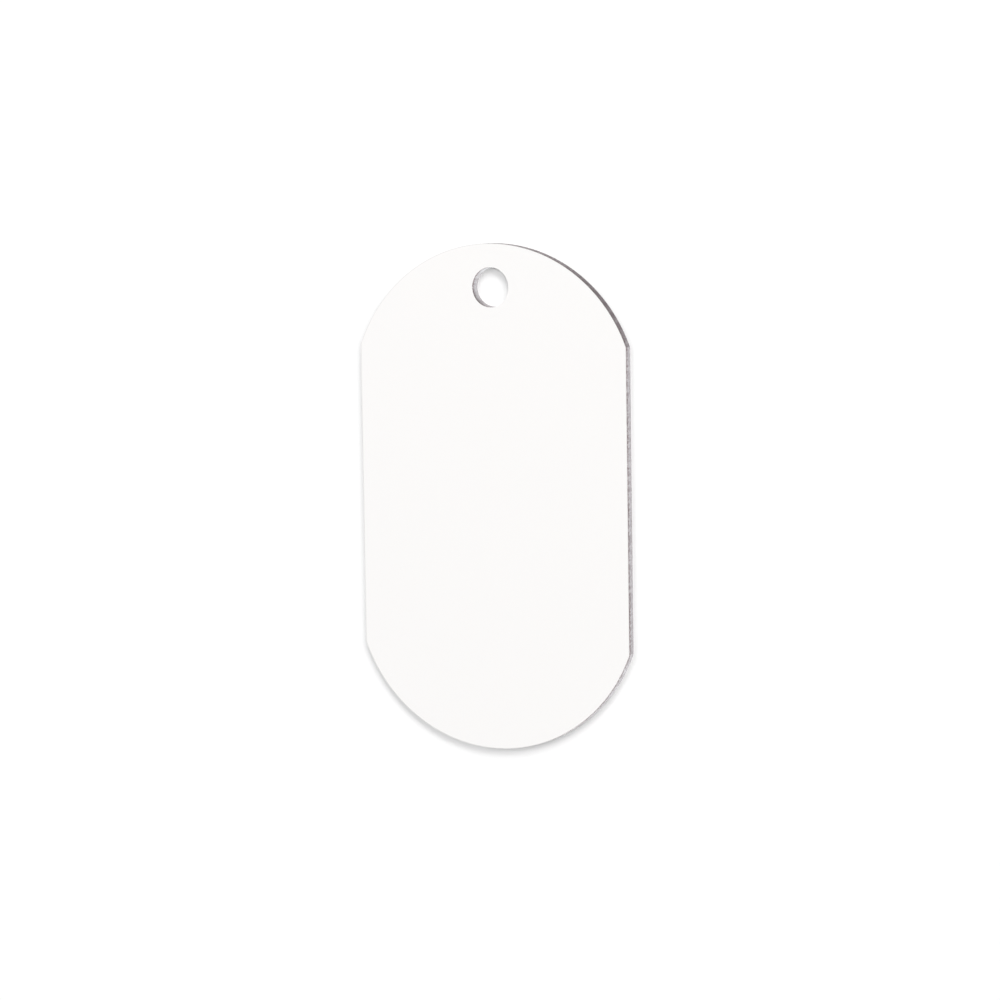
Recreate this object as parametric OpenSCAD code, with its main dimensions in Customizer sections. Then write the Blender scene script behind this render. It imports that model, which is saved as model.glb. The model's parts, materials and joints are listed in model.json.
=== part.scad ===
// Identification tag: one flat blank of coated sheet metal, stamped with two straight
// sides, two wide end arcs and one punched hole for a ring. It lies on its back.
// X runs across the width, Y along the length with the hole toward +Y, and Z through
// the sheet, from the back face at zero up to the front face.

/* [Plate] */
// Length from the top of one end arc to the top of the other
tag_l = 50; // [46:0.1:60]
// Width between the two straight sides
tag_w = 29; // [24:0.1:30]
// Thickness of the coated sheet
tag_t = 1; // [0.8:0.05:2]
// Radius of each end arc, a little more than half the width
end_r = 15.5; // [15.1:0.1:18]
// Radius that the punch rolls onto the front rims
rim_roll = 0.06; // [0.04:0.01:0.3]

/* [Ring hole] */
// Diameter of the punched hole
hole_d = 3.9; // [3:0.1:5]
// Distance from the end of the tag to the middle of the hole
hole_inset = 4.3; // [3.5:0.1:8]

/* [Hidden] */
$fn = 96;

half_l = tag_l / 2;
half_w = tag_w / 2;
hole_r = hole_d / 2;
hole_y = half_l - hole_inset;

// Middle of the upper end arc, on the long axis
arc_y = half_l - end_r;

// How far a cutter or a blank runs past the outline that it is cut to
over = 1;

// Section of the sheet from its middle at x = 0 out to a rim at x = reach, rolled at
// the front
module rim_section(reach) {
    square([reach - rim_roll, tag_t]);
    translate([reach - rim_roll, 0])
        square([rim_roll, tag_t - rim_roll]);
    translate([reach - rim_roll, tag_t - rim_roll])
        intersection() {
            circle(r = rim_roll);
            square(2 * rim_roll);
        }
}

// Strip with the tag's two straight sides, longer than the tag
module sides() {
    rotate([90, 0, 0])
        linear_extrude(tag_l + 2 * over, center = true)
            for (side = [0, 1])
                mirror([side, 0])
                    rim_section(half_w);
}

// Blank with the tag's two end arcs, wider than the tag between them
module ends() {
    for (end = [-1, 1])
        translate([0, end * arc_y, 0])
            rotate_extrude()
                rim_section(end_r);
    linear_extrude(tag_t)
        square([half_w + end_r, 2 * arc_y], center = true);
}

// What the punch takes out for the ring, flared where the front rim rolls in
module ring_hole() {
    translate([0, hole_y, 0])
        rotate_extrude() {
            translate([0, -over])
                square([hole_r, tag_t + 2 * over]);
            translate([hole_r, tag_t - rim_roll])
                difference() {
                    square([rim_roll, rim_roll + over]);
                    translate([rim_roll, 0])
                        circle(r = rim_roll);
                }
        }
}

module tag_plate() {
    color("whitesmoke")
        difference() {
            intersection() {
                sides();
                ends();
            }
            ring_hole();
        }
}

tag_plate();
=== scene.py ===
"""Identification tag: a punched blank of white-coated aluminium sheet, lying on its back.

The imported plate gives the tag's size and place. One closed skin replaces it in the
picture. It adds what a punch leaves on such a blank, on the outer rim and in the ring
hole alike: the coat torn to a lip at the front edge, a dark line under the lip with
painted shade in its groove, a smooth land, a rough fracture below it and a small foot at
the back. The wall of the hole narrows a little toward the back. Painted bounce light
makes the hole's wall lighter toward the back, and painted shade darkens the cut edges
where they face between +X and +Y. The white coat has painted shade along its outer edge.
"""

import json
import logging
import math
from dataclasses import dataclass, field
from enum import Enum, IntEnum

import bpy
import numpy as np
from mathutils import Euler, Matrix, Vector


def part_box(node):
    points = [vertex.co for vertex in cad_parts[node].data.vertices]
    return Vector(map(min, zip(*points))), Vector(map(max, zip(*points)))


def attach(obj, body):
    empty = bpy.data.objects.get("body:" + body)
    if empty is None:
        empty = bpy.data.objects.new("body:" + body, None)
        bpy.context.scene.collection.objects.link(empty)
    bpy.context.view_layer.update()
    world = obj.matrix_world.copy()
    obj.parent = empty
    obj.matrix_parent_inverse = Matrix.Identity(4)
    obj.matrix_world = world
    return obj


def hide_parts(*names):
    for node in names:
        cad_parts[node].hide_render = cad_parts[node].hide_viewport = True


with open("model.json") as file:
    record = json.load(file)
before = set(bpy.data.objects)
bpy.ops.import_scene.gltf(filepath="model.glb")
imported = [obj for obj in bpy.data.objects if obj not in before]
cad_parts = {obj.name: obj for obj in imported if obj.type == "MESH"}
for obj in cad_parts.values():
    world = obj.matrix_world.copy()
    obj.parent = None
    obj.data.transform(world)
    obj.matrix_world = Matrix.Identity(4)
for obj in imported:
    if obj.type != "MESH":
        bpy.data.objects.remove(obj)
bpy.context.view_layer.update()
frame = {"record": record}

LOG = logging.getLogger("id_tag")
MM = 0.001
PLATE_NODE = "tag_plate"
HOLE_MOUNT = "ring_hole"
BODY = "root"

# A Mix node's sockets share their names, so its colours go by number
MIX_COLOURS = (6, 7)
MIX_RESULT = 2

Triple = tuple[float, float, float]
Range = tuple[float, float]


class Skin(IntEnum):
    """Which finish a band of the tag's skin wears, as its material slot's number."""

    COAT = 0
    CUT = 1


class Stored(Enum):
    """Numbers stored on the skin's points, which the finishes read."""

    ZONE = "punch_zone"
    # Painted bounce light on the hole's wall
    PAINTED_BOUNCE_LIGHT = "polish"
    # Painted shade on cut edges that face one way
    PAINTED_SHADE = "soil"


class Zone(float, Enum):
    """How far down the punched edge a point lies. The zone runs evenly between two stages."""

    FACE = -1.0
    COAT_EDGE = 0.0
    LIP = 0.2
    LAND = 0.9
    FRACTURE = 2.0
    FRACTURE_END = 2.9
    FOOT = 3.0


class Signal:
    """A number that varies over a surface. Arithmetic on it adds Math nodes."""

    def __init__(self, graph: "Graph", socket: bpy.types.NodeSocket) -> None:
        """Wraps an output socket of the graph's tree."""
        self.graph = graph
        self.socket = socket

    def _with(self, operation: str, first: object, second: object) -> "Signal":
        """Adds one Math node.

        Args:
            operation: The Math node's operation.
            first: Its first value, a Signal or a number.
            second: Its second value, a Signal or a number.

        Returns:
            The node's result.
        """
        node = self.graph.node("ShaderNodeMath", {"operation": operation}, {0: first, 1: second})
        return Signal(self.graph, node.outputs[0])

    def __add__(self, other: "Signal | float") -> "Signal":
        """Returns self + other."""
        return self._with("ADD", self, other)

    __radd__ = __add__

    def __sub__(self, other: "Signal | float") -> "Signal":
        """Returns self - other."""
        return self._with("SUBTRACT", self, other)

    def __rsub__(self, other: float) -> "Signal":
        """Returns other - self."""
        return self._with("SUBTRACT", other, self)

    def __mul__(self, other: "Signal | float") -> "Signal":
        """Returns self * other."""
        return self._with("MULTIPLY", self, other)

    __rmul__ = __mul__

    def step(self, low: float, high: float) -> "Signal":
        """Turns the number into a soft step.

        Args:
            low: Where the step leaves zero.
            high: Where the step reaches one.

        Returns:
            A number from 0 to 1, smooth at both ends.
        """
        node = self.graph.node(
            "ShaderNodeMapRange",
            {"interpolation_type": "SMOOTHSTEP"},
            {"Value": self, "From Min": low, "From Max": high},
        )
        return Signal(self.graph, node.outputs["Result"])

    def patchy(self, edge: Range, gaps: float) -> "Signal":
        """Turns a noise into patches.

        Args:
            edge: Levels of the noise between which a patch comes in.
            gaps: How far the number falls below one between the patches.

        Returns:
            A number from 1 - gaps to 1.
        """
        return (1.0 - gaps) + self.step(*edge) * gaps


class Graph:
    """A node tree that is built from nothing."""

    def __init__(self, tree: bpy.types.NodeTree) -> None:
        """Takes a tree and empties it."""
        self.tree = tree
        self.tree.nodes.clear()

    def node(
        self, kind: str, settings: dict[str, object], inputs: dict[str | int, object]
    ) -> bpy.types.Node:
        """Adds any node.

        Args:
            kind: The node's type.
            settings: Its properties by name, which are set first.
            inputs: What goes on its sockets, by name or number: a Signal, a socket or a value.

        Returns:
            The new node.
        """
        node = self.tree.nodes.new(kind)
        for name, value in settings.items():
            setattr(node, name, value)
        for key, value in inputs.items():
            self.feed(node.inputs[key], value)
        return node

    def feed(self, socket: bpy.types.NodeSocket, value: object) -> None:
        """Puts a value on a socket or links it.

        Args:
            socket: The input socket.
            value: A Signal, an output socket, or what the socket itself can hold.
        """
        source = value.socket if isinstance(value, Signal) else value
        if isinstance(source, bpy.types.NodeSocket):
            self.tree.links.new(source, socket)
        else:
            socket.default_value = source


class Finish(Graph):
    """The node tree of one material with a Principled shader."""

    def __init__(self, name: str) -> None:
        """Makes the material with a bare Principled shader and its output.

        Args:
            name: The material's name.
        """
        self.material = bpy.data.materials.new(name)
        self.material.use_nodes = True
        super().__init__(self.material.node_tree)
        self.shader = self.node("ShaderNodeBsdfPrincipled", {}, {})
        self.node("ShaderNodeOutputMaterial", {}, {"Surface": self.shader.outputs["BSDF"]})
        self.place = self.node("ShaderNodeTexCoord", {}, {}).outputs["Object"]

    def noise(self, grain: Triple, detail: float = 2.0, roughness: float = 0.5) -> Signal:
        """Adds a cloudy noise on the piece's own coordinates.

        Args:
            grain: Size of the noise's blobs along X, Y and Z, in mm.
            detail: How many finer layers it has.
            roughness: How strong the finer layers are.

        Returns:
            A number from 0 to 1, mostly near a half.
        """
        scale = tuple(1.0 / (MM * size) for size in grain)
        placed = self.node("ShaderNodeMapping", {}, {"Vector": self.place, "Scale": scale})
        node = self.node(
            "ShaderNodeTexNoise",
            {},
            {"Vector": placed.outputs[0], "Scale": 1.0, "Detail": detail, "Roughness": roughness},
        )
        return Signal(self, node.outputs["Fac"])

    def stored(self, number: Stored) -> Signal:
        """Returns a number stored on the piece's points."""
        node = self.node("ShaderNodeAttribute", {"attribute_name": number.value}, {})
        return Signal(self, node.outputs["Fac"])

    def mix(self, share: Signal, first: object, second: object) -> bpy.types.NodeSocket:
        """Mixes two colours.

        Args:
            share: How much of the second colour shows.
            first: The colour at zero, as three numbers or a socket.
            second: The colour at one, as three numbers or a socket.

        Returns:
            The mixed colour's socket.
        """
        inputs = {"Factor": share}
        for number, colour in zip(MIX_COLOURS, (first, second)):
            inputs[number] = (*colour, 1.0) if isinstance(colour, tuple) else colour
        return self.node("ShaderNodeMix", {"data_type": "RGBA"}, inputs).outputs[MIX_RESULT]

    def bump(self, height: Signal, depth_mm: float) -> bpy.types.NodeSocket:
        """Adds a Bump node.

        Args:
            height: The relief, from 0 to 1.
            depth_mm: How high the relief is at one.

        Returns:
            The bent normal's socket.
        """
        inputs = {"Strength": 1.0, "Distance": depth_mm * MM, "Height": height}
        return self.node("ShaderNodeBump", {}, inputs).outputs["Normal"]

    def dress(self, **values: object) -> bpy.types.Material:
        """Puts values or links on the shader's sockets.

        Args:
            **values: What goes on each socket, named in lower case with underscores.

        Returns:
            The material.
        """
        for name, value in values.items():
            socket = self.shader.inputs[name.replace("_", " ").title().replace("Ior", "IOR")]
            self.feed(socket, (*value, 1.0) if isinstance(value, tuple) else value)
        return self.material


@dataclass(frozen=True)
class WhiteCoat:
    """Glossy white coat on both faces, with a faint grain, a slow waviness and painted shade that greys its
    rim.

    Attributes:
        light: Lighter white of the grain.
        dark: Darker white of the grain.
        rim: Grey of the painted shade along the coat's edge.
        rim_shade_zone: Zones between which the rim's painted shade comes in.
        grain_mm: Size of the grain.
        cloud_mm: Size of the slow changes in white and gloss.
        cloud_share: Share of the cloud in the white, beside the grain.
        roughness: Roughness where the cloud is lowest.
        dulling: How much rougher the cloud makes the coat.
        wave_mm: Size of the waviness.
        wave_depth_mm: Height of the waviness.
    """

    light: Triple = (0.902, 0.891, 0.882)
    dark: Triple = (0.891, 0.880, 0.871)
    # Painted shade: grey of the coat along its edge
    rim: Triple = (0.76, 0.75, 0.74)
    rim_shade_zone: Range = (-0.75, -0.25)
    grain_mm: float = 0.25
    cloud_mm: float = 9.0
    cloud_share: float = 0.4
    roughness: float = 0.2
    dulling: float = 0.08
    wave_mm: float = 1.6
    wave_depth_mm: float = 0.0006

    def build(self) -> bpy.types.Material:
        """Mixes grain and cloud into the white, and paints shade that turns it greyer toward the edge.

        Returns:
            The coat's material.
        """
        finish = Finish("white_coat")
        grain = finish.noise((self.grain_mm,) * 3, detail=1.0)
        cloud = finish.noise((self.cloud_mm,) * 3)
        wave = finish.noise((self.wave_mm,) * 3)
        shade = grain * (1.0 - self.cloud_share) + cloud * self.cloud_share
        face = finish.mix(shade, self.dark, self.light)
        # Painted shade: the white greys over the last band of the face before the coat's edge
        in_rim_shade = finish.stored(Stored.ZONE).step(*self.rim_shade_zone)
        return finish.dress(
            base_color=finish.mix(in_rim_shade, face, self.rim),
            roughness=self.roughness + cloud * self.dulling,
            normal=finish.bump(wave, self.wave_depth_mm),
        )


@dataclass(frozen=True)
class CutEdge:
    """Bare dull aluminium where the punch cut it.

    Attributes:
        groove: Painted shade in the groove under the coat's lip.
        dark_band_tone: Dark tone below the groove and along the foot.
        dark: Dark streaks of the metal.
        light: Light streaks of the metal.
        broken: Tone of the rough fracture.
        bounce_light_tone: Lighter tone of the painted bounce light in the hole.
        painted_shade_tone: Tone of the painted shade.
        groove_shade_end: Zones between which the groove's painted shade ends.
        dark_band_end: Zones between which the dark band ends.
        dark_band_waver: How far the dark band's end strays, in zones.
        rough_start: Zones between which the fracture's relief comes in.
        foot_start: Zones between which the darkening at the foot comes in.
        foot_darkening: How strong the darkening at the foot is.
        streak_shares: Shares of the patches, the scores and the spots in the streaks.
        streak_edge: Levels of the streaks between which they turn from dark to light.
        spot_edge: Levels of noise between which a dark spot comes in.
        dark_band_gaps: How much weaker the dark band is between its spots.
        shade_edge: Levels of noise between which a patch of painted shade comes in.
        shade_gaps: How much weaker the painted shade is between its patches.
        broken_share: How much of the streaks the fracture's own tone hides.
        patch_mm: Size of the large patches.
        score_mm: Size of the upright scores.
        crumb_mm: Size of the fracture's crumbs.
        spot_mm: Size of the dark band's spots.
        relief_mm: Height of the scores and crumbs.
        grit: How strong the finer layers of the patches, scores and crumbs are.
        metallic: How metallic the dull metal is.
        specular: Strength of its highlights.
        roughness: Roughness of the land where the patches are lowest.
        roughening: How much rougher the fracture is, and how much rougher the patches make it.
    """

    # Painted shade of the groove under the lip
    groove: Triple = (0.070, 0.048, 0.048)
    dark_band_tone: Triple = (0.068, 0.048, 0.049)
    dark: Triple = (0.114, 0.094, 0.098)
    light: Triple = (0.188, 0.168, 0.174)
    broken: Triple = (0.186, 0.170, 0.176)
    # Painted bounce light: lighter tone of the hole's wall
    bounce_light_tone: Triple = (0.350, 0.332, 0.338)
    # Painted shade on edges that face one way
    painted_shade_tone: Triple = (0.062, 0.044, 0.049)
    groove_shade_end: Range = (0.5, 0.9)
    dark_band_end: Range = (1.1, 1.4)
    dark_band_waver: float = 2.0
    rough_start: Range = (1.85, 2.15)
    foot_start: Range = (2.7, 2.9)
    foot_darkening: float = 0.5
    streak_shares: Triple = (0.25, 0.45, 0.3)
    streak_edge: Range = (0.45, 0.55)
    spot_edge: Range = (0.45, 0.55)
    dark_band_gaps: float = 0.85
    shade_edge: Range = (0.42, 0.58)
    shade_gaps: float = 0.55
    broken_share: float = 0.5
    patch_mm: Triple = (0.7, 0.7, 1.2)
    score_mm: Triple = (0.19, 0.19, 0.9)
    crumb_mm: Triple = (0.08, 0.08, 0.07)
    spot_mm: Triple = (0.28, 0.28, 0.4)
    relief_mm: float = 0.006
    grit: float = 0.6
    metallic: float = 0.2
    specular: float = 0.2
    roughness: float = 0.6
    roughening: float = 0.1

    def build(self) -> bpy.types.Material:
        """Lays the tones over each other: metal, the dark band, painted bounce light, painted shade and last
        the groove's painted shade.

        Returns:
            The cut metal's material.
        """
        finish = Finish("cut_edge")
        zone = finish.stored(Stored.ZONE)
        patches = finish.noise(self.patch_mm, roughness=self.grit)
        scores = finish.noise(self.score_mm, roughness=self.grit)
        crumbs = finish.noise(self.crumb_mm, detail=3.0, roughness=self.grit)
        spots = finish.noise(self.spot_mm, detail=1.0)
        rough = zone.step(*self.rough_start)
        of_patches, of_scores, of_spots = self.streak_shares
        streaks = patches * of_patches + scores * of_scores + spots * of_spots
        streaked = finish.mix(streaks.step(*self.streak_edge), self.dark, self.light)
        metal = finish.mix(rough * self.broken_share, streaked, self.broken)
        # A dark band under the groove, in spots, and darker toward the foot
        wavering = zone + (0.5 - spots) * self.dark_band_waver
        dark_band = (1.0 - wavering.step(*self.dark_band_end)) * spots.patchy(self.spot_edge, self.dark_band_gaps)
        at_foot = zone.step(*self.foot_start) * self.foot_darkening
        darkened = finish.mix(dark_band + at_foot, metal, self.dark_band_tone)
        # Painted bounce light: the hole's wall turns lighter where the stored map is high
        bounce_lit = finish.mix(finish.stored(Stored.PAINTED_BOUNCE_LIGHT), darkened, self.bounce_light_tone)
        # Painted shade, in patches, where the stored map is high
        soil = finish.stored(Stored.PAINTED_SHADE) * patches.patchy(self.shade_edge, self.shade_gaps)
        with_painted_shade = finish.mix(soil, bounce_lit, self.painted_shade_tone)
        return finish.dress(
            # Painted shade in the groove under the lip, laid over all else
            base_color=finish.mix(1.0 - zone.step(*self.groove_shade_end), with_painted_shade, self.groove),
            metallic=self.metallic,
            specular_ior_level=self.specular,
            roughness=self.roughness + rough * self.roughening + patches * self.roughening,
            normal=finish.bump(scores * (1.0 - rough) + crumbs * rough, self.relief_mm),
        )


@dataclass(frozen=True)
class PaperFloor:
    """Matt white paper under the tag.

    Attributes:
        white: Its tone.
    """

    white: Triple = (0.93, 0.93, 0.93)

    def build(self) -> bpy.types.Material:
        """Returns the paper's material."""
        return Finish("paper_floor").dress(base_color=self.white, roughness=1.0, specular_ior_level=0.0)


def lattice_noise(along: np.ndarray, across: np.ndarray, cells: tuple[int, int], seed: int) -> np.ndarray:
    """Works out a smooth noise that closes on itself along the edge.

    Random heights from -1 to 1 stand on a lattice. Between four of them the height blends
    along each axis with the weight 3f^2 - 2f^3 of the fraction f.

    Args:
        along: Place along the edge, from 0 to 1, where 1 is 0 again.
        across: Place across the edge, from 0 to 1.
        cells: How many lattice cells there are along and across.
        seed: The random seed.

    Returns:
        The noise at each place, from -1 to 1.
    """
    heights = np.random.default_rng(seed).uniform(-1.0, 1.0, (cells[0], cells[1] + 2))
    u = np.mod(along, 1.0) * cells[0]
    v = np.clip(across, 0.0, 1.0) * cells[1]
    i, j = np.floor(u).astype(int), np.floor(v).astype(int)
    fu, fv = u - i, v - j
    wu, wv = fu * fu * (3 - 2 * fu), fv * fv * (3 - 2 * fv)
    i0, i1 = i % cells[0], (i + 1) % cells[0]
    low = heights[i0, j] * (1 - wu) + heights[i1, j] * wu
    high = heights[i0, j + 1] * (1 - wu) + heights[i1, j + 1] * wu
    return low * (1 - wv) + high * wv


@dataclass(frozen=True)
class Waver:
    """How a line or a relief strays along an edge.

    Attributes:
        depth: How far it strays, in the unit of what it moves.
        pitch: Length of one blob of it along the edge, in mm.
        draw: What the edge's seed is raised by for it.
        layers: How many blobs it has across the edge.
    """

    depth: float
    pitch: float
    draw: int
    layers: int = 1


@dataclass(frozen=True)
class Easing:
    """One point of the round between the fracture and the back face.

    Attributes:
        inset: How far it lies inside the fracture's end, in mm.
        height: How high it lies, as a share of the foot's height.
        skin: The finish of the band that starts there.
    """

    inset: float
    height: float
    skin: Skin


@dataclass(frozen=True)
class RimRows:
    """Rows of a rim's skin, from the front face over the edge to the back face.

    Attributes:
        inset: How far each point lies inside the nominal edge, in mm, one row a station.
        height: How high each point lies above the back face, in mm.
        skin: The finish of the band that starts at each row.
        zone: The zone of each row.
    """

    inset: np.ndarray
    height: np.ndarray
    skin: np.ndarray
    zone: np.ndarray


@dataclass(frozen=True)
class PunchedRim:
    """Edge that a punch cut through coated sheet, all sizes in mm.

    Attributes:
        thickness: Thickness of the sheet.
        girth: Length of the edge all the way round.
        seed: Seed of the edge's noise.
        support: Width of the band on each face that runs into the edge.
        coat_end: How far inside the nominal edge the coat ends.
        coat_depth: Depth of the coat's torn lip.
        lip_undercut: How far the lip's lower side draws in.
        groove_depth: Depth at which the smooth land starts.
        bare_inset: How far inside the nominal edge the bare metal lies.
        land_share: Share of the thickness that the punch cut smoothly.
        foot_height: Height of the foot at the back.
        fracture_lean: How far the fracture leans in at its end.
        lean_power: Power of the depth with which the fracture leans in.
        first_break: Share of the fracture's depth at which its first row lies.
        land_rows: How many rows the land has.
        fracture_rows: How many rows the fracture has.
        flare: How much more of the sheet is cut away at the front.
        pinch: How much less of the sheet is cut away at the back.
        scores: Upright scores of the punch.
        long_break: Slow wavering of the line where the fracture starts.
        short_break: Quick wavering of that line.
        foot_waver: Wavering of the foot, as a share of its height.
        crumbs: Relief of the fracture.
        crumb_rise: How fast the relief comes in with the share of the fracture's depth.
        fewest_blobs: How many blobs a waver has along the edge at least.
        easings: Points of the round from the fracture to the back face.
    """

    thickness: float
    girth: float
    seed: int
    support: float = 0.1
    coat_end: float = 0.0034
    coat_depth: float = 0.005
    lip_undercut: float = 0.001
    groove_depth: float = 0.013
    bare_inset: float = 0.0015
    land_share: float = 0.46
    foot_height: float = 0.05
    fracture_lean: float = 0.003
    lean_power: float = 0.8
    first_break: float = 0.08
    land_rows: int = 6
    fracture_rows: int = 9
    flare: float = 0.0
    pinch: float = 0.0
    scores: Waver = Waver(0.0015, 0.12, 6)
    long_break: Waver = Waver(0.07, 1.1, 7)
    short_break: Waver = Waver(0.035, 0.3, 8)
    foot_waver: Waver = Waver(0.3, 0.7, 9)
    crumbs: Waver = Waver(0.009, 0.16, 10, 5)
    crumb_rise: float = 4.0
    fewest_blobs: int = 6
    easings: tuple[Easing, ...] = (
        Easing(0.003, 0.45, Skin.CUT),
        Easing(0.008, 0.12, Skin.COAT),
        Easing(0.020, 0.0, Skin.COAT),
    )

    def stray(self, waver: Waver, along: np.ndarray, across: float = 0.0) -> np.ndarray:
        """Works out a waver along the edge: its depth times a lattice noise.

        Args:
            waver: What strays.
            along: Place along the edge, from 0 to 1.
            across: Place across the edge, from 0 to 1.

        Returns:
            How far it strays at each place.
        """
        cells = max(self.fewest_blobs, round(self.girth / waver.pitch)), waver.layers
        level = np.full(along.size, across)
        return waver.depth * lattice_noise(along, level, cells, self.seed + waver.draw)

    def rows(self, along: np.ndarray) -> RimRows:
        """Lays out the rim's section at each place along the edge.

        The coat runs flat to its torn lip. A groove follows under the lip, then the upright
        land. The fracture starts at a wavering line and leans in with a power of its depth,
        under a crumbled relief. The foot rounds onto the back face. A point at the share h of
        the thickness lies further in by flare times h less pinch times 1 - h.

        Args:
            along: Place along the edge, from 0 to 1.

        Returns:
            The rows from front to back.
        """
        top, flat = self.thickness, np.zeros(along.size)
        inset, height, skin, zone = [], [], [], []

        def station(inside: np.ndarray | float, up: np.ndarray | float, finish: Skin, at: float) -> None:
            """Adds one row.

            Args:
                inside: How far inside the nominal edge it lies before the flare and the pinch.
                up: How high it lies.
                finish: The finish of the band that starts there.
                at: Its zone.
            """
            share = up / top
            inset.append(inside + self.flare * share - self.pinch * (1.0 - share) + flat)
            height.append(up + flat)
            skin.append(finish)
            zone.append(float(at))

        station(self.coat_end + self.support, top, Skin.COAT, Zone.FACE)
        station(self.coat_end, top, Skin.COAT, Zone.COAT_EDGE)
        station(self.coat_end + self.lip_undercut, top - self.coat_depth, Skin.CUT, Zone.LIP)
        bare = self.bare_inset + self.stray(self.scores, along)
        land_top = top - self.groove_depth
        breaking = top * (1.0 - self.land_share)
        breaking = breaking + self.stray(self.long_break, along) + self.stray(self.short_break, along)
        for share in np.linspace(0.0, 1.0, self.land_rows):
            at = Zone.LAND + (Zone.FRACTURE - Zone.LAND) * share
            station(bare, land_top + (breaking - land_top) * share, Skin.CUT, at)
        foot = self.foot_height * (1.0 + self.stray(self.foot_waver, along))
        for share in np.linspace(self.first_break, 1.0, self.fracture_rows):
            relief = self.stray(self.crumbs, along, share) * min(1.0, self.crumb_rise * share)
            lean = np.maximum(self.fracture_lean * share**self.lean_power + relief, 0.0)
            at = Zone.FRACTURE + (Zone.FRACTURE_END - Zone.FRACTURE) * share
            station(bare + lean, breaking + (foot - breaking) * share, Skin.CUT, at)
        base = self.bare_inset + self.fracture_lean
        for easing in self.easings:
            station(base + easing.inset, easing.height * foot, easing.skin, Zone.FOOT)
        station(base + self.easings[-1].inset + self.support, 0.0, Skin.COAT, Zone.FACE)
        return RimRows(np.array(inset), np.array(height), np.array(skin), np.array(zone))


@dataclass(frozen=True)
class Outline:
    """Plan of the blank: two straight sides and two end arcs, with eased corners between them.

    Attributes:
        half_length: Half the blank's length, in mm.
        half_width: Half its width, in mm.
        end_radius: Radius of the end arcs, in mm.
        corner_radius: Radius of the eased corners, in mm.
        arc_steps: How many steps half an end arc has.
        corner_steps: How many steps a corner has.
        side_steps: How many steps half a side has.
    """

    half_length: float
    half_width: float
    end_radius: float = 15.5
    corner_radius: float = 0.3
    arc_steps: int = 170
    corner_steps: int = 6
    side_steps: int = 124

    @property
    def arc_y(self) -> float:
        """Middle of the upper end arc, on the long axis."""
        return self.half_length - self.end_radius

    @property
    def corner(self) -> tuple[float, float]:
        """Middle of the upper right corner's arc, which touches the end arc and the side."""
        x = self.half_width - self.corner_radius
        return x, self.arc_y + math.sqrt((self.end_radius - self.corner_radius) ** 2 - x * x)

    def trace(self) -> tuple[np.ndarray, np.ndarray, np.ndarray, float]:
        """Walks clockwise round the outline from its top.

        A quarter of it is three stretches: an arc about (0, arc_y), an arc about the corner's
        middle and a straight line. On an arc the point is the middle plus radius times
        (sin a, cos a). The other quarters are its mirror images.

        Returns:
            The points, the outward normals, the place of each point from 0 to 1, and the girth.
        """
        x, y = self.corner
        turn = math.atan2(x, y - self.arc_y)
        arc = np.linspace(0.0, turn, self.arc_steps, endpoint=False)
        bend = np.linspace(turn, math.pi / 2, self.corner_steps, endpoint=False)
        side = np.linspace(y, 0.0, self.side_steps + 1)
        angle = np.concatenate([arc, bend, np.full(side.size, math.pi / 2)])
        normal = np.stack([np.sin(angle), np.cos(angle)], axis=1)
        quarter = np.concatenate([
            np.tile([0.0, self.arc_y], (arc.size, 1)) + self.end_radius * normal[: arc.size],
            np.tile([x, y], (bend.size, 1)) + self.corner_radius * normal[arc.size : -side.size],
            np.stack([np.full(side.size, self.half_width), side], axis=1),
        ])
        right = np.concatenate([quarter, quarter[-2::-1] * [1, -1]])
        right_normal = np.concatenate([normal, normal[-2::-1] * [1, -1]])
        points = np.concatenate([right, right[-2:0:-1] * [-1, 1]])
        normals = np.concatenate([right_normal, right_normal[-2:0:-1] * [-1, 1]])
        steps = np.linalg.norm(np.roll(points, -1, axis=0) - points, axis=1)
        girth = float(steps.sum())
        place = (np.cumsum(steps) - steps) / girth
        return points, normals, place, girth


@dataclass(frozen=True)
class Lobe:
    """A share that is strongest where an edge faces one way; it places painted shade and painted bounce
    light.

    Attributes:
        angle: Where it is strongest, from +X toward +Y in radians.
        power: How fast it falls off to both sides.
        strength: How strong it is at most.
    """

    angle: float
    power: float
    strength: float = 1.0

    def over(self, facing: np.ndarray) -> np.ndarray:
        """Returns strength (0.5 + 0.5 cos d)^power, where d is the turn from the lobe's angle."""
        toward = np.array([math.cos(self.angle), math.sin(self.angle)])
        return self.strength * (0.5 + 0.5 * facing @ toward) ** self.power


@dataclass(frozen=True)
class TagSkin:
    """The tag's skin as a closed grid.

    Attributes:
        points: The points by row, column and axis, in metres.
        skin: The finish of the band that starts at each row.
        stored: What each point stores for the finishes, by row and column.
    """

    points: np.ndarray
    skin: np.ndarray
    stored: dict[Stored, np.ndarray]


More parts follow.
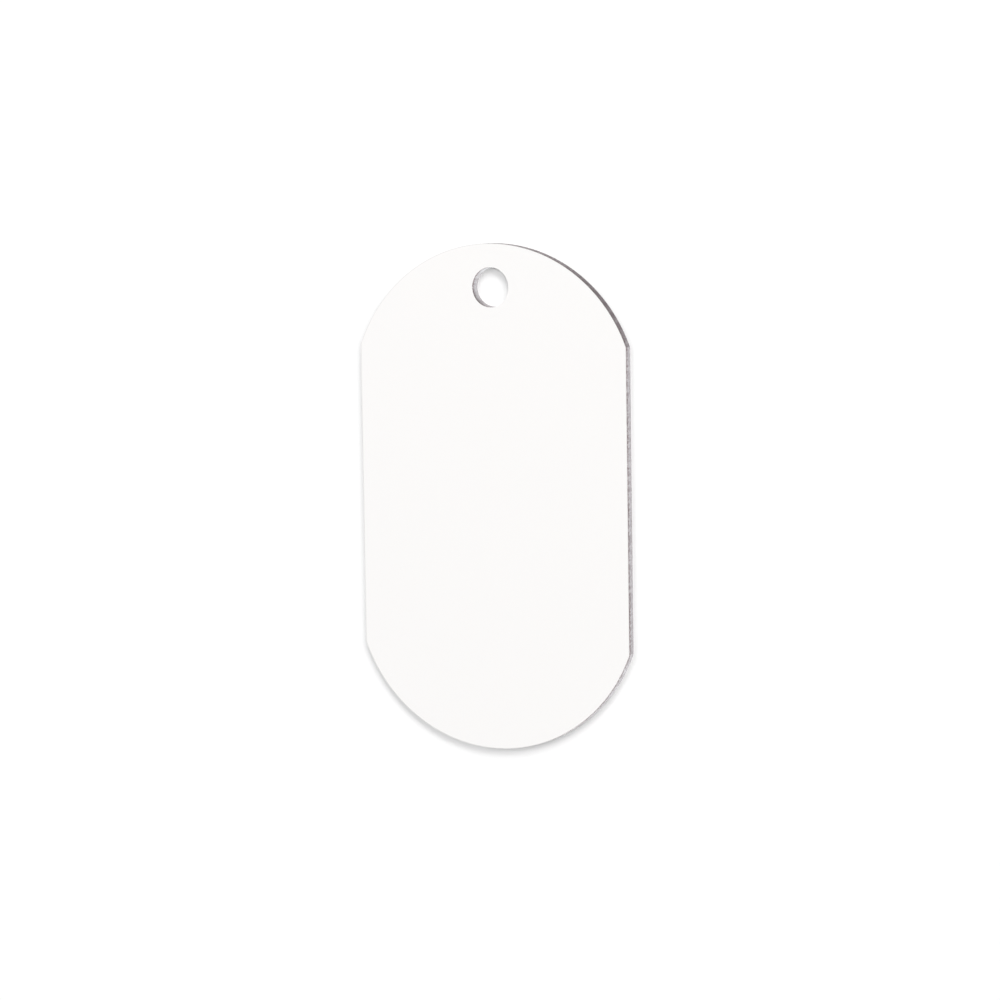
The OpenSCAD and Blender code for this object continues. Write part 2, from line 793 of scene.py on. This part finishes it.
@dataclass
class TagBlank:
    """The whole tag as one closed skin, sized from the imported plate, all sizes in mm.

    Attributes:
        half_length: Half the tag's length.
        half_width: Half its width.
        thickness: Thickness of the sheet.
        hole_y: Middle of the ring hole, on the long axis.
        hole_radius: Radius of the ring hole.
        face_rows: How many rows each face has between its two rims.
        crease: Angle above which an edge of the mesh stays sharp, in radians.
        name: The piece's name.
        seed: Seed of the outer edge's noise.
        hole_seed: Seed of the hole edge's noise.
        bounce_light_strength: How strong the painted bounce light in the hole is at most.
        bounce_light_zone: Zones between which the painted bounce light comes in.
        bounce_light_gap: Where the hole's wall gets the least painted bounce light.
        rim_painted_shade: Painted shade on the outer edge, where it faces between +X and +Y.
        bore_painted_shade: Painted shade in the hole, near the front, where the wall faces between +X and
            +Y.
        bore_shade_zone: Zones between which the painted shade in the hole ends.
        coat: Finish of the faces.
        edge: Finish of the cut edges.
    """

    half_length: float
    half_width: float
    thickness: float
    hole_y: float
    hole_radius: float
    face_rows: int = 5
    crease: float = math.radians(50)
    name: str = "tag_blank"
    seed: int = 31
    hole_seed: int = 81
    bounce_light_strength: float = 0.88
    bounce_light_zone: Range = (1.0, 2.6)
    bounce_light_gap: Lobe = Lobe(math.radians(160), 6.0)
    rim_painted_shade: Lobe = Lobe(math.radians(36), 40.0, 0.75)
    bore_painted_shade: Lobe = Lobe(math.radians(212), 12.0, 1.2)
    bore_shade_zone: Range = (1.5, 2.5)
    coat: WhiteCoat = field(default_factory=WhiteCoat)
    edge: CutEdge = field(default_factory=CutEdge)

    @classmethod
    def from_frame(cls) -> "TagBlank":
        """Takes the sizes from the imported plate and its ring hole's mount.

        Returns:
            The tag, not yet built.
        """
        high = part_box(PLATE_NODE)[1]
        hole = next(m for m in frame["record"]["mounts"] if m["name"] == HOLE_MOUNT)
        return cls(
            half_length=high.y / MM,
            half_width=high.x / MM,
            thickness=high.z / MM,
            hole_y=hole["pos_m"][1] / MM,
            hole_radius=hole["dims"]["r_mm"],
        )

    def bore(self) -> PunchedRim:
        """Returns the hole's edge, with less land, no lean, and a wall that narrows to the back."""
        return PunchedRim(
            self.thickness,
            math.tau * self.hole_radius,
            self.hole_seed,
            land_share=0.3,
            fracture_lean=0.0,
            flare=0.01,
            pinch=0.05,
        )

    def lay_out(self) -> TagSkin:
        """Works out the skin as a closed grid of rows by columns.

        The rows run over the outer rim from front to back, across the back face, through the
        hole's rim from back to front and across the front face. A column keeps one direction
        as seen from the hole's middle. Between the rims a point is a straight mix of the two.

        Returns:
            The skin.
        """
        points, normals, place, girth = Outline(self.half_length, self.half_width).trace()
        centre = np.array([0.0, self.hole_y])
        spokes = points - centre
        spokes = spokes / np.linalg.norm(spokes, axis=1, keepdims=True)
        turn = np.mod(np.arctan2(spokes[:, 0], spokes[:, 1]) / math.tau, 1.0)
        outer = PunchedRim(self.thickness, girth, self.seed).rows(place)
        inner = self.bore().rows(turn)
        outer_xy = points[None] - normals[None] * outer.inset[..., None]
        inner_xy = centre + spokes[None] * (self.hole_radius + inner.inset[..., None])
        rim = np.concatenate([outer_xy, outer.height[..., None]], axis=2)
        bore = np.concatenate([inner_xy, inner.height[..., None]], axis=2)[::-1]

        def between(first: np.ndarray, last: np.ndarray) -> np.ndarray:
            """Returns a face's rows between two rows, without them."""
            share = np.linspace(0.0, 1.0, self.face_rows + 2)[1:-1, None, None]
            return first + (last - first) * share

        grid = np.concatenate([rim, between(rim[-1], bore[0]), bore, between(bore[-1], rim[0])])
        face_skin = np.full(self.face_rows, Skin.COAT)
        bore_skin = np.append(inner.skin[-2::-1], Skin.COAT)
        skin = np.concatenate([outer.skin, face_skin, bore_skin, face_skin])
        face_zone = np.full(self.face_rows, float(Zone.FACE))
        # The hole's coat rows keep the face's zone, so the hole's coat gets no painted rim shade
        bore_zone = np.where(inner.skin == Skin.COAT, float(Zone.FACE), inner.zone)[::-1]
        zone = np.concatenate([outer.zone, face_zone, bore_zone, face_zone])
        polish, soil = np.zeros((2, *grid.shape[:2]))
        bore_rows = slice(outer.zone.size + self.face_rows, zone.size - self.face_rows)
        depth = zone[bore_rows, None]
        # Painted bounce light: the hole's wall is painted lighter toward the back, least where its spokes
        # point at 160 degrees
        bounce_lit = self.bounce_light_strength * np.interp(depth, self.bounce_light_zone, (0.0, 1.0))
        polish[bore_rows] = bounce_lit * (1.0 - self.bounce_light_gap.over(spokes))
        # Painted shade: the outer edge darkens where it faces 36 degrees, the hole's wall near the front
        # where its spokes point at 212 degrees
        near_front = np.interp(depth, self.bore_shade_zone, (1.0, 0.0))
        soil[: outer.zone.size] = self.rim_painted_shade.over(normals)
        soil[bore_rows] = near_front * self.bore_painted_shade.over(spokes)
        zones = np.broadcast_to(zone[:, None], polish.shape)
        return TagSkin(grid * MM, skin, {Stored.ZONE: zones, Stored.PAINTED_BOUNCE_LIGHT: polish, Stored.PAINTED_SHADE: soil})

    def build(self) -> bpy.types.Object:
        """Makes the tag's mesh from the skin and dresses it.

        Returns:
            The piece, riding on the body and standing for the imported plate.
        """
        laid = self.lay_out()
        rows, columns = laid.points.shape[:2]
        index = np.arange(rows * columns).reshape(rows, columns)
        below, beside = np.roll(index, -1, axis=0), np.roll(index, -1, axis=1)
        corner = np.roll(below, -1, axis=1)
        quads = np.stack([index, beside, corner, below], axis=2).reshape(-1, 4)
        mesh = bpy.data.meshes.new(self.name)
        mesh.from_pydata(laid.points.reshape(-1, 3), [], quads)
        mesh.polygons.foreach_set("material_index", np.repeat(laid.skin, columns).astype(np.int32))
        mesh.polygons.foreach_set("use_smooth", np.ones(len(quads), bool))
        for number, values in laid.stored.items():
            layer = mesh.attributes.new(number.value, "FLOAT", "POINT")
            layer.data.foreach_set("value", values.astype(np.float32).ravel())
        mesh.materials.append(self.coat.build())
        mesh.materials.append(self.edge.build())
        mesh.set_sharp_from_angle(angle=self.crease)
        mesh.validate()
        mesh.update()
        piece = bpy.data.objects.new(self.name, mesh)
        bpy.context.scene.collection.objects.link(piece)
        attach(piece, BODY)
        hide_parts(PLATE_NODE)
        return piece


@dataclass(frozen=True)
class Panel:
    """Level rectangle of light above the tag.

    Attributes:
        name: The light's name.
        power: Its power in watts.
        slope: Its middle's distance from the tag along X and Y, in heights.
        reach: Half its length and half its width, in heights.
        turn: Angle from +X to its length, in radians.
        glossy: Whether the coat may mirror it.
        height: How high it hangs, in metres.
    """

    name: str
    power: float
    slope: tuple[float, float]
    reach: tuple[float, float]
    turn: float = 0.0
    glossy: bool = True
    height: float = 3.0


@dataclass(frozen=True)
class Rake:
    """Low light that reaches the cut edges and not the faces.

    Attributes:
        name: The light's name.
        power: Its irradiance.
        azimuth: Angle from +X to the side that it comes from, in radians.
        tint: Its colour.
        elevation: Angle above the floor, in radians. Below zero it misses the faces.
        spread: How wide the light looks, in radians.
    """

    name: str
    power: float
    azimuth: float
    tint: Triple
    elevation: float = math.radians(-9)
    spread: float = math.radians(1)


@dataclass
class Studio:
    """White paper floor, soft lights and the photograph's camera.

    Attributes:
        face_mm: Height of the tag's front face, in mm.
        floor_half: Half the floor's side, in metres.
        lens: The camera's focal length, in mm.
        sensor: Width of its sensor, in mm.
        clip: Nearest and furthest distance that it sees, in metres.
        aim_mm: Point on the front face that the camera looks at, in mm.
        distance_mm: The camera's distance from that point, in mm.
        tilt_deg: The camera's turns about X, Y and Z, in degrees.
        sky: Brightness of the sky as a light.
        backdrop: Brightness of the sky as the camera sees it.
        front_power: Irradiance of the light beside the lens.
        front_spread: How wide that light looks, in radians.
        panels: The lights above the tag.
        rakes: The lights on the cut edges.
    """

    face_mm: float
    floor_half: float = 1.5
    lens: float = 133.518
    sensor: float = 36.0
    clip: Range = (0.01, 10.0)
    aim_mm: tuple[float, float] = (0.726, -0.213)
    distance_mm: float = 365.053
    tilt_deg: Triple = (-6.114, 26.182, -0.955)
    sky: float = 0.1075
    backdrop: float = 1.0
    front_power: float = 1.523
    front_spread: float = math.radians(8)
    panels: tuple[Panel, ...] = (
        Panel("key", 175.8, (0.68, 0.847), (0.665, 0.36), math.radians(-43)),
        Panel("fill", 26.3, (-0.441, 0.244), (0.259, 0.284), glossy=False),
    )
    rakes: tuple[Rake, ...] = (
        Rake("rake_right", 10.9, math.radians(-42), (0.87, 0.955, 0.95)),
        Rake("rake_left", 3.0, math.radians(112), (0.97, 0.98, 0.97)),
    )

    def turn(self) -> Euler:
        """Returns the camera's rotation."""
        return Euler([math.radians(a) for a in self.tilt_deg])

    def toward_camera(self) -> Vector:
        """Returns the direction of the camera as seen from the aim point."""
        return self.turn().to_matrix() @ Vector((0.0, 0.0, 1.0))

    def camera(self) -> None:
        """Places the camera on its view axis through the aim point on the front face."""
        data = bpy.data.cameras.new("camera")
        data.lens, data.sensor_width = self.lens, self.sensor
        camera = bpy.data.objects.new("camera", data)
        aim = Vector((*self.aim_mm, self.face_mm)) * MM
        camera.location = aim + self.toward_camera() * self.distance_mm * MM
        camera.rotation_euler = self.turn()
        data.clip_start, data.clip_end = self.clip
        bpy.context.scene.collection.objects.link(camera)
        bpy.context.scene.camera = camera

    def light(self, kind: str, name: str, toward: Vector, power: float) -> bpy.types.Object:
        """Adds a light that shines on the tag.

        Args:
            kind: The light's type.
            name: The light's name.
            toward: Its direction as seen from the tag.
            power: Its irradiance for a sun, or its power for an area.

        Returns:
            The light.
        """
        data = bpy.data.lights.new(name, kind)
        data.energy = power
        light = bpy.data.objects.new(name, data)
        light.rotation_euler = toward.to_track_quat("Z", "Y").to_euler()
        bpy.context.scene.collection.objects.link(light)
        return light

    def front(self) -> None:
        """Adds an even light from beside the lens, whose shadows hide behind the tag."""
        light = self.light("SUN", "front", self.toward_camera(), self.front_power)
        light.data.angle = self.front_spread

    def hang(self, panel: Panel) -> None:
        """Hangs one panel of light above the tag.

        Args:
            panel: The panel.
        """
        light = self.light("AREA", panel.name, Vector((0.0, 0.0, 1.0)), panel.power)
        light.location = Vector((*panel.slope, 1.0)) * panel.height
        light.data.shape = "RECTANGLE"
        light.data.size, light.data.size_y = (2.0 * reach * panel.height for reach in panel.reach)
        light.rotation_euler.z = panel.turn
        light.visible_glossy = panel.glossy

    def graze(self, rake: Rake) -> None:
        """Adds one low light that casts no shadow and lights nothing by bouncing.

        Args:
            rake: The low light.
        """
        level = math.cos(rake.elevation)
        toward = Vector((
            level * math.cos(rake.azimuth),
            level * math.sin(rake.azimuth),
            math.sin(rake.elevation),
        ))
        light = self.light("SUN", rake.name, toward, rake.power).data
        light.color = rake.tint
        light.angle = rake.spread
        light.use_shadow = False
        light.cycles.max_bounces = 0

    def floor(self) -> None:
        """Lays the paper as one flat sheet at zero."""
        mesh = bpy.data.meshes.new("floor")
        h = self.floor_half
        mesh.from_pydata([(-h, -h, 0), (h, -h, 0), (h, h, 0), (-h, h, 0)], [], [(0, 1, 2, 3)])
        mesh.materials.append(PaperFloor().build())
        floor = bpy.data.objects.new("floor", mesh)
        bpy.context.scene.collection.objects.link(floor)

    def surround(self) -> None:
        """Makes the sky, dim as a light and as pale as the paper to look at.

        Its strength is sky + seen * (backdrop - sky), where seen is 1 for what the camera
        sees directly.
        """
        world = bpy.data.worlds.new("studio")
        world.use_nodes = True
        graph = Graph(world.node_tree)
        seen = Signal(graph, graph.node("ShaderNodeLightPath", {}, {}).outputs["Is Camera Ray"])
        strength = seen * (self.backdrop - self.sky) + self.sky
        white = (1.0, 1.0, 1.0, 1.0)
        background = graph.node("ShaderNodeBackground", {}, {"Color": white, "Strength": strength})
        graph.node("ShaderNodeOutputWorld", {}, {"Surface": background.outputs[0]})
        bpy.context.scene.world = world

    def build(self) -> None:
        """Sets the stage, the lights, the surround and the camera."""
        view = bpy.context.scene.view_settings
        view.view_transform, view.look = "Standard", "None"
        self.surround()
        self.floor()
        self.front()
        for panel in self.panels:
            self.hang(panel)
        for rake in self.rakes:
            self.graze(rake)
        self.camera()


def main() -> None:
    """Builds the tag and the studio in order."""
    logging.basicConfig(format="%(name)s: %(message)s")
    LOG.setLevel(logging.INFO)
    tag = TagBlank.from_frame()
    piece = tag.build()
    LOG.info("%s: %d points, %d faces", piece.name, len(piece.data.vertices), len(piece.data.polygons))
    studio = Studio(tag.thickness)
    studio.build()
    LOG.info("studio: %d lights above, %d low lights", len(studio.panels), len(studio.rakes))


if __name__ == "__main__":
    main()
